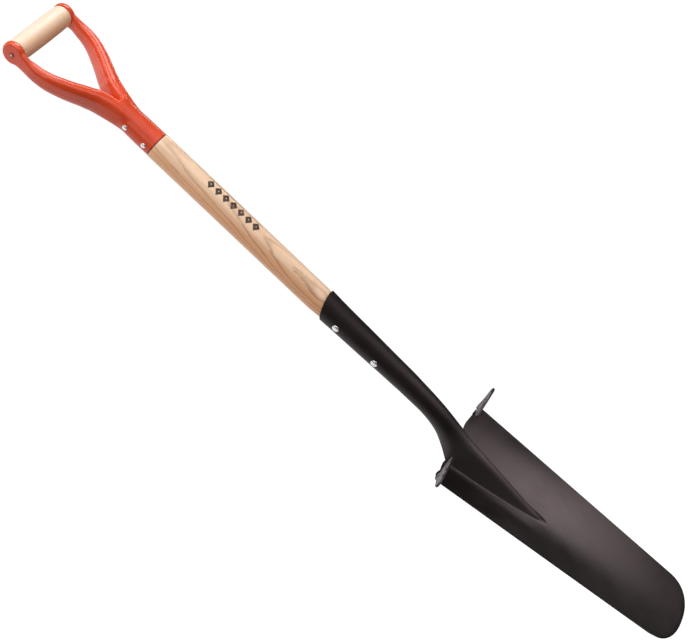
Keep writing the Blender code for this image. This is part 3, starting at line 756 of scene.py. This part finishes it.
def black_enamel(name, worn_top=False):
    f = Finish(name)
    # faint marks along the drawing direction
    drawn = f.noise(f.stretched(x=260, y=260, z=14), scale=1, detail=3, rough=0.6)
    cloud = f.noise(f.place, scale=22, detail=4, rough=0.55)
    peel = f.noise(f.place, scale=520, detail=2, rough=0.5)
    deep_black, soft_black = (0.0060, 0.0045, 0.0044), (0.0090, 0.0068, 0.0067)
    base = f.mix(f.span(cloud, at=(0.35, 0.7)), deep_black, soft_black)
    rough = f.plus(f.span(cloud, at=(0.3, 0.7), to=(0.28, 0.34)),
                   f.span(drawn, at=(0.3, 0.75), to=(-0.01, 0.04)))
    # painted light: the frog and the neck are painted lighter, standing in for light on their
    # flanks as well as dust, and made rougher
    frog_dust_and_painted_light = f.times(f.span(f.math("ABSOLUTE", f.x), at=(0.030, 0.016)),
                    by=f.times(f.span(f.z, at=(0.225, 0.26)), by=f.span(f.z, at=(0.43, 0.38))))
    dust_and_painted_light = (0.0360, 0.0290, 0.0285)
    base = f.mix(frog_dust_and_painted_light, base, dust_and_painted_light)
    rough = f.plus(rough, f.times(frog_dust_and_painted_light, by=0.12))
    # dust and small chips
    specks = f.span(f.noise(f.place, scale=900, detail=2, rough=0.7), at=(0.70, 0.76))
    chip = (0.09, 0.08, 0.08)
    base = f.mix(f.times(specks, by=0.22), base, chip)
    # paint rubbed thin along the edges
    rubbing = f.noise(f.place, scale=160, detail=3, rough=0.6)
    worn = f.times(f.span(f.geometry("Pointiness"), at=(0.54, 0.62)),
                   by=f.span(rubbing, at=(0.30, 0.62)))
    thin_paint = (0.105, 0.095, 0.090)
    base = f.mix(f.times(worn, by=0.55), base, thin_paint)
    if worn_top:
        up = f.make("ShaderNodeSeparateXYZ", {0: f.geometry("Normal")}).outputs[2]
        patch = f.noise(f.place, scale=75, detail=4, rough=0.6, distortion=0.6)
        bare = f.times(f.span(up, at=(0.6, 0.95)), by=f.span(patch, at=(0.36, 0.56)))
        scuff = f.noise(f.stretched(x=900, y=160, z=160), scale=1, detail=2, rough=0.6)
        dark_steel, light_steel = (0.15, 0.135, 0.14), (0.30, 0.28, 0.29)
        base = f.mix(bare, base, f.mix(f.span(scuff, at=(0.35, 0.65)), dark_steel, light_steel))
        rough = f.plus(rough, f.times(bare, by=0.06))
    # the neck and the socket are duller than the polished blade
    dull_from_to = (0.375, 0.425)
    rough = f.plus(rough, f.times(f.span(f.z, at=dull_from_to), by=0.14))
    under = f.bump(peel, strength=0.05, distance=0.0003)
    return f.set(
        Base_Color=base, Roughness=rough,
        Normal=f.bump(drawn, strength=0.03, distance=0.0003, under=under),
        Specular_IOR_Level=f.span(f.z, at=dull_from_to, to=(0.72, 0.36)),
        Specular_Tint=(1.0, 0.785, 0.795, 1), Metallic=f.times(worn, by=0.30))


def red_enamel(name):
    def above(height):
        return (FERRULE_FOOT + height) * MM

    f = Finish(name)
    cloud = f.noise(f.place, scale=30, detail=3, rough=0.5)
    peel = f.noise(f.place, scale=260, detail=2, rough=0.5)
    deep_red, bright_red = (0.610, 0.055, 0.014), (0.690, 0.069, 0.019)
    base = f.mix(f.span(cloud, at=(0.3, 0.7)), deep_red, bright_red)
    # painted shade: darker red in the creases, and a painted shadow round the foot of the ferrule
    crease_shade = f.span(f.geometry("Pointiness"), at=(0.49, 0.44), to=(0.0, 0.55))
    crease_shade_red, foot_shadow_red = (0.20, 0.018, 0.010), (0.16, 0.016, 0.010)
    base = f.mix(crease_shade, base, crease_shade_red)
    base = f.mix(f.span(f.z, at=(above(2.3), above(1.1)), to=(0.0, 0.8)), base, foot_shadow_red)
    # the ferrule has less gloss than the arms
    gloss = f.span(f.z, at=(above(62), above(100)))
    rough = f.minus(f.span(cloud, at=(0.3, 0.7), to=(0.31, 0.37)), f.times(gloss, by=0.14))
    return f.set(
        Base_Color=base, Roughness=rough, Normal=f.bump(peel, strength=0.008, distance=0.0006),
        Coat_Weight=f.span(gloss, at=(0.0, 1.0), to=(0.16, 0.42)),
        Coat_Roughness=f.span(gloss, at=(0.0, 1.0), to=(0.24, 0.08)), Specular_IOR_Level=0.32)


# stamped row of lozenges and a thin rule on the shaft; around the shaft, 0 is the front
STAMP_COUNT, STAMP_FOOT, STAMP_PITCH = 7, 0.7990, 0.0136
LOZENGE_HALF_LENGTH, LOZENGE_HALF_WIDTH = 0.0059, 0.0076
LOZENGE_OFFSET, RULE_PLACE = 0.0022, 0.0072  # around the shaft, towards -X and +X
RULE_EDGE = (0.00055, 0.00035)               # half width of the rule, faint and full
INK = (0.030, 0.017, 0.011)


def stamped(f, colour, wide, deep, long, fibre):
    arc = f.times(f.math("ARCTAN2", wide, f.times(deep, by=-1)), by=SHAFT_R * MM)
    step = f.math("DIVIDE", f.minus(long, STAMP_FOOT), STAMP_PITCH)
    along_row = f.math("ABSOLUTE", f.minus(f.math("FRACT", step), 0.5))
    inside = f.times(f.math("GREATER_THAN", step, 0.0),
                     by=f.math("LESS_THAN", step, float(STAMP_COUNT)))
    across_row = f.math("ABSOLUTE", f.plus(arc, LOZENGE_OFFSET))
    size = f.plus(f.math("DIVIDE", along_row, LOZENGE_HALF_LENGTH / STAMP_PITCH),
                  f.math("DIVIDE", across_row, LOZENGE_HALF_WIDTH))
    ragged = f.swing(f.noise(f.place, scale=1400, detail=2, rough=0.6), by=0.12)
    size = f.plus(size, ragged)
    solid = f.span(size, at=(1.03, 0.95))
    hole = f.span(size, at=(0.20, 0.12))
    rule = f.span(f.math("ABSOLUTE", f.minus(arc, RULE_PLACE)), at=RULE_EDGE)
    shape = f.math("MAXIMUM", f.minus(solid, hole), rule)
    stamp = f.math("MULTIPLY", shape, inside, clamp=True)
    worn_ink = f.span(f.noise(fibre, scale=0.6, detail=2, rough=0.6),
                      at=(0.28, 0.40), to=(0.55, 0.97))
    return f.mix(f.times(stamp, by=worn_ink), colour, INK)


def wood(name, along, centre, pith, lean, ring, light, mid, dark, shade_toward, shade_from_to,
         shade_tint, streak=1.0, rough=0.46, mark=False):
    """Flat-sawn timber: growth rings about a pith, leaning so that they run out as cathedrals.

    One side is tinted browner as painted shade, on the side turned from the light; streak is the
    strength of the dark grain.
    """
    f = Finish(name)
    wide, deep, long = {"Z": (f.x, f.y, f.z), "X": (f.y, f.z, f.x)}[along]
    wide, deep = f.minus(wide, centre[0]), f.minus(deep, centre[1])

    def grain_vector(across, along):
        return f.vector(f.times(wide, by=across), f.times(deep, by=across),
                        f.times(long, by=along))

    # distance from the leaning pith, with a slow wander and a fine ripple
    waver = f.noise(grain_vector(across=14, along=3.2), scale=1, detail=2, rough=0.45)
    from_a = f.minus(f.plus(wide, f.times(long, by=lean[0])), pith[0])
    from_b = f.minus(f.plus(deep, f.times(long, by=lean[1])), pith[1])
    radius = f.math("SQRT", f.plus(f.times(from_a, by=from_a), f.times(from_b, by=from_b)))
    radius = f.plus(radius, f.swing(waver, by=0.016))
    ripple = f.noise(grain_vector(across=70, along=24), scale=1, detail=3, rough=0.6)
    radius = f.plus(radius, f.swing(ripple, by=0.0022))
    phase = f.math("FRACT", f.math("DIVIDE", radius, ring))
    # porous early wood at the start of a ring, fading into dense late wood
    early = f.times(f.span(phase, at=(0.0, 0.08)), by=f.span(phase, at=(0.40, 0.08)))
    fibre = grain_vector(across=1500, along=55)
    fibres = f.noise(fibre, scale=1, detail=3, rough=0.6)
    pore = f.noise(grain_vector(across=2600, along=120), scale=1, detail=2, rough=0.5)
    pores = f.times(f.span(pore, at=(0.56, 0.66)),
                    by=f.span(early, at=(0.2, 0.7), to=(0.25, 1.0)))
    broad = f.noise(grain_vector(across=46, along=2.6), scale=1, detail=3, rough=0.55)
    colour = f.mix(f.span(broad, at=(0.36, 0.66)), light, mid)
    early_share = f.span(broad, at=(0.34, 0.66), to=(0.20, 0.80 * streak))
    colour = f.mix(f.times(early, by=early_share), colour, dark)
    grain = f.noise(grain_vector(across=420, along=9), scale=1, detail=4, rough=0.62)
    between = tuple(0.5 * (u + v) for u, v in zip(mid, dark))
    colour = f.mix(f.span(grain, at=(0.46, 0.72), to=(0.0, 0.50 * streak)), colour, between)
    colour = f.mix(f.span(fibres, at=(0.40, 0.68), to=(0.0, 0.30)), colour, mid)
    pore_colour = tuple(0.62 * v for v in dark)
    colour = f.mix(f.times(pores, by=0.55 * streak), colour, pore_colour)
    # painted shade: the wood is tinted browner towards one side, the side turned from the light
    reach = f.plus(f.times(wide, by=shade_toward[0]), f.times(deep, by=shade_toward[1]))
    reach = f.plus(reach, f.swing(broad, by=0.012))
    shaded = f.mix(1.0, colour, shade_tint, mode="MULTIPLY")
    colour = f.mix(f.span(reach, at=shade_from_to), colour, shaded)
    shine = f.plus(f.span(fibres, at=(0.3, 0.7), to=(rough - 0.05, rough + 0.05)),
                   f.times(pores, by=0.12))
    if mark:
        colour = stamped(f, colour, wide, deep, long, fibre)
    height = f.minus(f.times(fibres, by=0.35), pores)
    return f.set(Base_Color=colour, Roughness=shine,
                 Normal=f.bump(height, strength=0.22, distance=0.00018),
                 Coat_Weight=0.12, Coat_Roughness=0.28)


def rivet_steel(name):
    f = Finish(name)
    cloud = f.noise(f.place, scale=420, detail=3, rough=0.6)
    hammer = f.make("ShaderNodeTexVoronoi", {"Vector": f.place, "Scale": 900.0})
    grey, bright, shade_dark = (0.70, 0.70, 0.71), (0.84, 0.84, 0.85), (0.06, 0.055, 0.05)
    base = f.mix(f.span(cloud, at=(0.35, 0.65)), grey, bright)
    # painted shade: the steel is darkened in its creases, round the foot of the head
    crease_shade = f.span(f.geometry("Pointiness"), at=(0.48, 0.40), to=(0.0, 0.8))
    return f.set(Base_Color=f.mix(crease_shade, base, shade_dark), Metallic=1.0,
                 Roughness=f.span(cloud, at=(0.3, 0.7), to=(0.24, 0.38)),
                 Normal=f.bump(hammer.outputs["Distance"], strength=0.10, distance=0.0003))


def rolled_steel(name, centre):
    """The end of the grip's rivet: a bright middle, a ring darkened as painted shade, and red paint
    round the edge.
    """
    f = Finish(name)
    squares = [f.math("POWER", f.minus(axis, middle), 2.0)
               for axis, middle in zip((f.y, f.z), centre)]
    out = f.math("SQRT", f.plus(*squares))
    out = f.plus(out, f.swing(f.noise(f.place, scale=500, detail=3, rough=0.6), by=0.0014))
    # painted shade: the ring round the bright middle is darkened, as steel in shadow
    middle, ring, paint = (0.62, 0.50, 0.44), (0.16, 0.075, 0.060), (0.42, 0.060, 0.030)
    base = f.mix(f.span(out, at=(0.0013, 0.0020)), middle, ring)
    base = f.mix(f.span(out, at=(0.0029, 0.0036)), base, paint)
    return f.set(Base_Color=base, Roughness=0.36,
                 Metallic=f.span(out, at=(0.0036, 0.0029), to=(0.0, 0.85)))


SHAFT_CENTRE = (0.0, SHAFT_Y * MM)        # X and Y
GRIP_CENTRE = (SHAFT_Y * MM, GRIP_Z * MM)  # Y and Z
BLACK = black_enamel("satin_black_enamel")
TREADS = black_enamel("tread_enamel_worn", worn_top=True)
RED = red_enamel("orange_red_enamel")
ASH = wood(
    "ash_lacquered", along="Z", centre=SHAFT_CENTRE, pith=(0.032, 0.040), lean=(0.030, 0.026),
    ring=0.0034, light=(0.890, 0.640, 0.450), mid=(0.780, 0.500, 0.320),
    dark=(0.400, 0.205, 0.105), mark=True,
    shade_toward=(-0.7, 0.7), shade_from_to=(-0.004, 0.012), shade_tint=(1.0, 0.76, 0.58))
PALE = wood(
    "pale_hardwood_waxed", along="X", centre=GRIP_CENTRE, pith=(0.018, -0.050),
    lean=(0.05, 0.03), ring=0.0026, light=(0.820, 0.690, 0.570), mid=(0.750, 0.590, 0.450),
    dark=(0.600, 0.410, 0.270), streak=0.45, rough=0.42,
    shade_toward=(-0.45, -0.90), shade_from_to=(0.000, 0.014), shade_tint=(0.92, 0.69, 0.54))
STEEL = rivet_steel("bright_rivet_steel")
ROLLED = rolled_steel("rolled_rivet_steel", GRIP_CENTRE)


# ---- pieces ----
def dress(obj, finish, slot, node=None, body="spade", sharp=None):
    """Gives an object its finish and shading, hangs it under its body, and hides the frame's part
    that it replaces.
    """
    obj.data.materials.clear()
    obj.data.materials.append(finish)
    obj.data.shade_smooth()
    if sharp:
        obj.data.set_sharp_from_angle(angle=math.radians(sharp))
    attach(obj, body)
    if node:
        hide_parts(node)
    return obj


def piece(name, mesh, finish, slot, **options):
    return dress(link(name, mesh), finish, slot, **options)


def bright_rivet(name, half, shank, head, z):
    piece(name + "_bright", rivet_mesh(name, half, shank, head, z), STEEL, "rivet_steel",
          node=name, sharp=60)


blade = piece("blade_painted", blade_mesh(), BLACK, "black_enamel", node="blade", sharp=55)
edge_bevel(blade, width=0.55, angle=50)

for side, tag in ((-1, "left"), (1, "right")):
    tread = piece("tread_" + tag, tread_mesh(side), TREADS, "tread_enamel",
                  node="step_plate_" + tag, sharp=30)
    edge_bevel(tread, width=0.7, angle=40)
    for place, offset in WELDS.items():
        piece("tread_weld_%s_%s" % (tag, place), weld_mesh(side, offset), BLACK, "tread_enamel")

dress(yoke_object(), RED, "red_enamel", node="handle_yoke", sharp=50)
piece("shaft_ash", shaft_mesh(), ASH, "ash", node="shaft", sharp=45)
piece("grip_turned", grip_mesh(), PALE, "grip_wood", node="hand_grip", body="grip", sharp=60)

for name, z in SOCKET_RIVETS.items():
    half = read_table(SOCKET, z + SOCKET_SEAT_RISE) + GAP
    bright_rivet(name, half, SOCKET_SHANK, SOCKET_HEAD, z)
for name, z in YOKE_RIVETS.items():
    half = read_table(FERRULE, z - FERRULE_FOOT) + GAP + YOKE_EXTRA_GAP
    bright_rivet(name, half, YOKE_SHANK, YOKE_HEAD, z)
pin_mesh = rivet_mesh("pin", EAR_OUT + GAP, GRIP_SHANK, GRIP_HEAD, GRIP_Z, skirt=0.3,
                      dimple=GRIP_DIMPLE)
piece("grip_rivet_bright", pin_mesh, ROLLED, "rivet_steel", node="grip_rivet", sharp=60)

# ---- camera: place and directions in world metres ----
CAMERA_RIGHT = Vector((0.42356755, -0.54995546, -0.71981909))
CAMERA_UP = Vector((0.57556508, -0.45022115, 0.68266079))
CAMERA_BACK = Vector((-0.69951081, -0.70345569, 0.12583609))
CAMERA_PLACE = Vector((-1.38248516, -1.3939813 + SHAFT_Y * MM, 0.88007424))


def placed(place, right, up, back):
    """World matrix of a camera or lamp, which looks against back."""
    return Matrix.Translation(place) @ Matrix((right, up, back)).transposed().to_4x4()


lens = bpy.data.cameras.new("photo_camera")
lens.lens = 76.2208696
lens.sensor_width = 36
lens.sensor_fit = "HORIZONTAL"
lens.clip_start = 0.05
lens.clip_end = 60
camera = link("photo_camera", lens)
camera.matrix_world = placed(CAMERA_PLACE, CAMERA_RIGHT, CAMERA_UP, CAMERA_BACK)
bpy.context.scene.camera = camera

# ---- floor, light and room ----
FLOOR_HALF, FLOOR_Z = 7, -0.0005
FLOOR_GLOW = 1.0           # where the camera sees the floor
FLOOR_SHARE = 0.8          # share of the backdrop's brightness carried on by the floor
ROOM_DIM, ROOM_BRIGHT = 0.03, 1.1  # brightness of the room before the tool and of the backdrop
ROOM_EDGE = (0.34, 0.42)   # Y of the direction where the backdrop starts
ROOM_SIDE = (0.55, 0.25)   # X of the direction where it ends on the right
# soft boxes: name, direction from the tool, distance, width, height, radiance, height aimed at
LIGHTS = (
    ("top_left", (-0.30, -0.60, 0.75), 1.6, 0.9, 0.9, 3.4, 0.70),
    ("top_right", (0.50, -0.60, 0.60), 1.6, 0.9, 0.9, 5.0, 0.80),
    ("top", (0.0, -0.30, 0.95), 1.6, 0.9, 0.9, 1.6, 0.60),
    ("crown", (-0.25, 0.20, 0.95), 1.0, 0.6, 0.6, 1.0, 1.10),
    ("blade_front", (0.32, -0.948, 0.05), 0.75, 0.80, 0.23, 3.0, 0.230),
    ("blade_low", (0.28, -0.96, 0.0), 0.75, 0.70, 0.14, 1.4, 0.075),
    ("front_high", (-0.15, -0.98, 0.02), 1.5, 1.8, 1.1, 1.5, 1.12),
    ("left_fill", (-0.90, -0.35, 0.20), 1.6, 0.9, 0.9, 1.5, 0.90),
    ("edge_strip", (0.99, -0.10, 0.10), 1.7, 0.16, 0.6, 9.0, 1.14),
)


def floor_finish():
    """White where the camera looks, and as the backdrop carried on for other rays."""
    f = Finish("pale_floor")
    cloud = f.noise(f.place, scale=3, detail=3, rough=0.5)
    tone = f.mix(f.span(cloud, at=(0.3, 0.7)), (0.13, 0.13, 0.13), (0.15, 0.15, 0.15))
    seen = f.make("ShaderNodeLightPath").outputs["Is Camera Ray"]
    toward = f.make("ShaderNodeSeparateXYZ", {0: f.geometry("Incoming")}).outputs
    behind = f.span(f.times(toward[1], by=-1), at=ROOM_EDGE)
    beside = f.span(f.times(toward[0], by=-1), at=ROOM_SIDE)
    carried = f.times(f.times(behind, by=beside), by=ROOM_BRIGHT * FLOOR_SHARE)
    glow = f.plus(f.times(seen, by=FLOOR_GLOW), f.times(f.minus(1.0, seen), by=carried))
    return f.set(Base_Color=tone, Roughness=0.9, Specular_IOR_Level=0.1,
                 Emission_Color=(1, 1, 1, 1), Emission_Strength=glow)


floor_mesh = bpy.data.meshes.new("floor")
floor_corners = [(x * FLOOR_HALF, y * FLOOR_HALF, FLOOR_Z)
                 for x, y in ((-1, -1), (1, -1), (1, 1), (-1, 1))]
floor_mesh.from_pydata(floor_corners, [], [(0, 1, 2, 3)])
floor = link("floor", floor_mesh)
floor.data.materials.append(floor_finish())


def soft_box(name, direction, distance, width, height, radiance, target_z):
    data = bpy.data.lights.new(name, "AREA")
    data.shape = "RECTANGLE"
    data.size, data.size_y = width, height
    data.energy = radiance * math.pi * width * height
    data.spread = math.radians(180)
    lamp = link(name, data)
    back = Vector(direction).normalized()
    right = Vector((0, 0, 1)).cross(back).normalized()
    place = Vector((0, 0, target_z)) + back * distance
    lamp.matrix_world = placed(place, right, back.cross(right), back)
    lamp.visible_camera = False


for row in LIGHTS:
    soft_box(*row)


def studio_world():
    """A white backdrop stands behind the tool; the rest of the room is dimmer."""
    world = bpy.data.worlds.new("studio")
    bpy.context.scene.world = world
    world.use_nodes = True
    world.node_tree.nodes.clear()
    graph = Graph(world.node_tree)

    def linear(value, at=(0.0, 1.0), to=(0.0, 1.0)):
        inputs = {0: value, 1: at[0], 2: at[1], 3: to[0], 4: to[1]}
        return graph.make("ShaderNodeMapRange", inputs).outputs[0]

    def background(colour, strength):
        inputs = {"Color": colour, "Strength": strength}
        return graph.make("ShaderNodeBackground", inputs).outputs[0]

    direction = graph.make("ShaderNodeTexCoord").outputs["Generated"]
    axes = graph.make("ShaderNodeSeparateXYZ", {0: direction}).outputs
    behind, beside = linear(axes[1], at=ROOM_EDGE), linear(axes[0], at=ROOM_SIDE)
    backdrop = graph.make("ShaderNodeMath", {0: behind, 1: beside}, operation="MULTIPLY")
    room = linear(backdrop.outputs[0], to=(ROOM_DIM, ROOM_BRIGHT))
    seen = background(colour=(1, 1, 1, 1), strength=1.02)
    felt = background(colour=(1.0, 0.985, 0.975, 1), strength=room)
    camera_ray = graph.make("ShaderNodeLightPath").outputs["Is Camera Ray"]
    both = graph.make("ShaderNodeMixShader", {0: camera_ray, 1: felt, 2: seen})
    graph.make("ShaderNodeOutputWorld", {"Surface": both.outputs[0]})


studio_world()
bpy.context.scene.view_settings.view_transform = "Standard"
bpy.context.scene.view_settings.look = "None"
